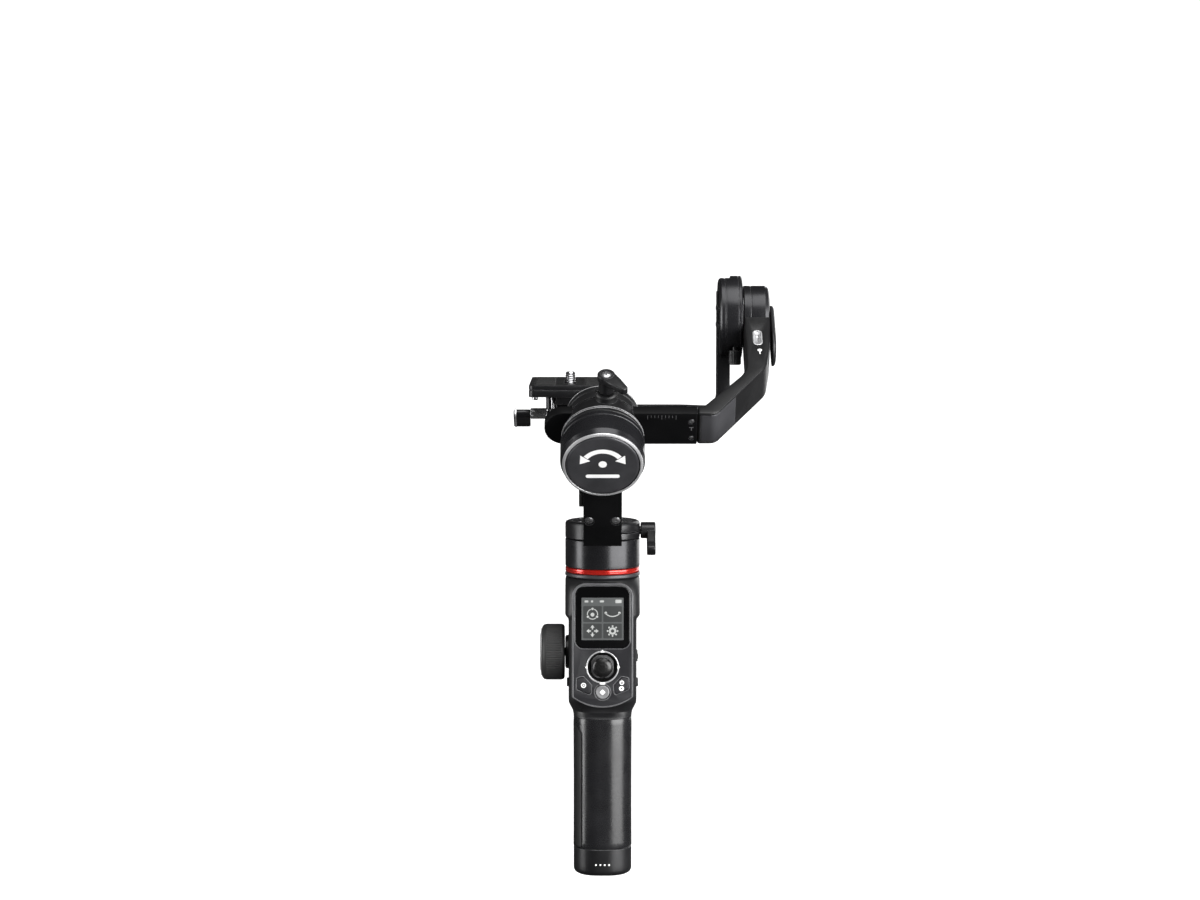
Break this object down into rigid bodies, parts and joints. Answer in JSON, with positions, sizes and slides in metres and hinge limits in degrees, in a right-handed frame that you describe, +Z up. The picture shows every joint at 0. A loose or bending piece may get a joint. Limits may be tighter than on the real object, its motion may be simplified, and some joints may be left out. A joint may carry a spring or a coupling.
{
  "type": "camera gimbal",
  "caption": "Handheld camera stabiliser: a grip with a control panel carries pan, roll and tilt motors on bent arms that hold a sliding quick-release camera plate.",
  "frame": {"origin": "centre of the tripod socket in the bottom face of the grip", "axes": "+Z up the grip and the pan axis, +X to the operator's right, +Y away from the operator, where the lens points"},
  "size_m": [0.1539, 0.1694, 0.3565],
  "materials": {
    "black_shell": "fine-textured black moulded plastic",
    "grey_panel": "satin dark grey panel paint",
    "black_metal": "satin black anodised aluminium",
    "grey_cover": "brushed dark grey cover",
    "black_rubber": "matte black rubber",
    "red_ring": "glossy red anodised ring",
    "screen_glass": "glossy black window",
    "display": "grey monochrome display",
    "circuit_board": "green circuit board",
    "copper": "enamelled copper winding",
    "steel": "bare steel",
    "brass": "brass insert",
    "battery_wrap": "shrink-wrapped battery cell"
  },
  "bodies": {
    "handle": {"base_cap": "black_metal", "tripod_socket": "brass", "grip_front_cover": "black_shell", "grip_rear_cover": "black_shell", "left_grip_pad": "black_rubber", "right_grip_pad": "black_rubber", "battery_cell_1": "battery_wrap", "battery_cell_2": "battery_wrap", "battery_board": "circuit_board", "control_front_shell": "black_shell", "control_rear_shell": "black_shell", "face_plate": "grey_panel", "screen_glass": "screen_glass", "display_panel": "display", "main_board": "circuit_board", "joystick_base": "steel", "port_cover": "black_rubber", "trigger_pin": "steel", "wheel_axle": "black_shell", "pan_base_ring": "black_metal", "red_ring": "red_ring", "pan_stator": "copper"},
    "stick_ring": {"joystick_ring": "steel"},
    "stick": {"joystick_cap": "black_rubber"},
    "mode_key": {"mode_button": "grey_panel"},
    "record_key": {"record_button": "steel"},
    "power_key": {"power_button": "grey_panel"},
    "trigger_lever": {"trigger": "black_metal"},
    "left_release": {"left_release_button": "black_metal"},
    "right_release": {"right_release_button": "black_metal"},
    "wheel": {"focus_wheel": "black_rubber", "wheel_cap": "black_metal"},
    "pan_head": {"pan_rotor": "black_metal", "pan_magnets": "steel", "pan_clamp": "black_metal"},
    "pan_lock": {"pan_lever": "black_metal"},
    "pan_arm": {"pan_slider": "black_metal", "roll_post": "black_metal", "post_screw_1": "steel", "post_screw_2": "steel", "roll_housing": "black_metal", "roll_cap": "grey_cover", "roll_stator": "copper"},
    "roll_head": {"roll_rotor": "steel", "roll_clamp": "black_metal"},
    "roll_lock": {"roll_lever": "black_metal"},
    "arm": {"cross_arm": "black_metal", "arm_casting": "black_metal", "arm_cover": "grey_cover", "tilt_housing": "black_metal", "tilt_cover": "black_shell", "tilt_stator": "copper"},
    "tilt_head": {"tilt_rotor": "steel", "tilt_clamp": "black_metal"},
    "tilt_lock": {"tilt_knob": "black_metal"},
    "camera_arm": {"tilt_arm": "black_metal", "plate_receiver": "black_metal"},
    "plate_lock": {"plate_lever": "steel"},
    "camera_plate": {"quick_release_plate": "black_metal"},
    "plate_screw": {"camera_screw": "steel"}
  },
  "joints": [
    {"name": "stick_up_down", "type": "hinge", "parent": "handle", "child": "stick_ring", "pos_m": [0, -0.021, 0.1263], "axis": [1, 0, 0], "range_deg": [-15, 15], "stiffness_Nm_per_rad": 0.05},
    {"name": "stick_left_right", "type": "hinge", "parent": "stick_ring", "child": "stick", "pos_m": [0, -0.021, 0.1263], "axis": [0, 0, 1], "range_deg": [-15, 15], "stiffness_Nm_per_rad": 0.05},
    {"name": "mode_press", "type": "slide", "parent": "handle", "child": "mode_key", "axis": [0, 1, 0], "range_m": [0, 0.0006], "stiffness_N_per_m": 1500},
    {"name": "record_press", "type": "slide", "parent": "handle", "child": "record_key", "axis": [0, 1, 0], "range_m": [0, 0.0006], "stiffness_N_per_m": 1500},
    {"name": "power_press", "type": "slide", "parent": "handle", "child": "power_key", "axis": [0, 1, 0], "range_m": [0, 0.0006], "stiffness_N_per_m": 1500},
    {"name": "trigger_pull", "type": "hinge", "parent": "handle", "child": "trigger_lever", "pos_m": [0, 0.018, 0.152], "axis": [-1, 0, 0], "range_deg": [0, 9], "stiffness_Nm_per_rad": 0.4},
    {"name": "left_release_press", "type": "slide", "parent": "handle", "child": "left_release", "axis": [1, 0, 0], "range_m": [0, 0.0012], "stiffness_N_per_m": 1500},
    {"name": "right_release_press", "type": "slide", "parent": "handle", "child": "right_release", "axis": [-1, 0, 0], "range_m": [0, 0.0012], "stiffness_N_per_m": 1500},
    {"name": "focus_turn", "type": "hinge", "parent": "handle", "child": "wheel", "pos_m": [-0.029, 0, 0.1319], "axis": [1, 0, 0], "continuous": true},
    {"name": "pan", "type": "hinge", "parent": "handle", "child": "pan_head", "pos_m": [0, 0, 0.196], "axis": [0, 0, 1], "continuous": true},
    {"name": "pan_lock_turn", "type": "hinge", "parent": "pan_head", "child": "pan_lock", "pos_m": [0.02, 0, 0.205], "axis": [1, 0, 0], "range_deg": [-40, 60]},
    {"name": "pan_balance", "type": "slide", "parent": "pan_head", "child": "pan_arm", "axis": [0, 1, 0], "range_m": [-0.012, 0.012]},
    {"name": "roll", "type": "hinge", "parent": "pan_arm", "child": "roll_head", "pos_m": [0, -0.09011, 0.26891], "axis": [0, -0.8192, -0.5736], "continuous": true},
    {"name": "roll_lock_turn", "type": "hinge", "parent": "roll_head", "child": "roll_lock", "pos_m": [0.002, -0.10027, 0.29841], "axis": [0, -0.5736, 0.8192], "range_deg": [-25, 65]},
    {"name": "roll_balance", "type": "slide", "parent": "roll_head", "child": "arm", "axis": [1, 0, 0], "range_m": [-0.012, 0.01]},
    {"name": "tilt", "type": "hinge", "parent": "arm", "child": "tilt_head", "pos_m": [0.08, 0, 0.332], "axis": [1, 0, 0], "range_deg": [-115, 115]},
    {"name": "tilt_lock_turn", "type": "hinge", "parent": "tilt_head", "child": "tilt_lock", "pos_m": [0.0779, -0.0164, 0.309], "axis": [0, 0, 1], "continuous": true},
    {"name": "tilt_balance", "type": "slide", "parent": "tilt_head", "child": "camera_arm", "axis": [0, 0, 1], "range_m": [-0.005, 0.02]},
    {"name": "plate_lock_turn", "type": "hinge", "parent": "camera_arm", "child": "plate_lock", "pos_m": [-0.04, -0.015, 0.2758], "axis": [1, 0, 0], "range_deg": [-60, 20]},
    {"name": "plate_slide", "type": "slide", "parent": "camera_arm", "child": "camera_plate", "axis": [0, 1, 0], "range_m": [-0.02, 0.02]},
    {"name": "camera_screw_turn", "type": "hinge", "parent": "camera_plate", "child": "plate_screw", "pos_m": [-0.019, 0, 0.292], "axis": [0, 0, 1], "continuous": true}
  ]
}
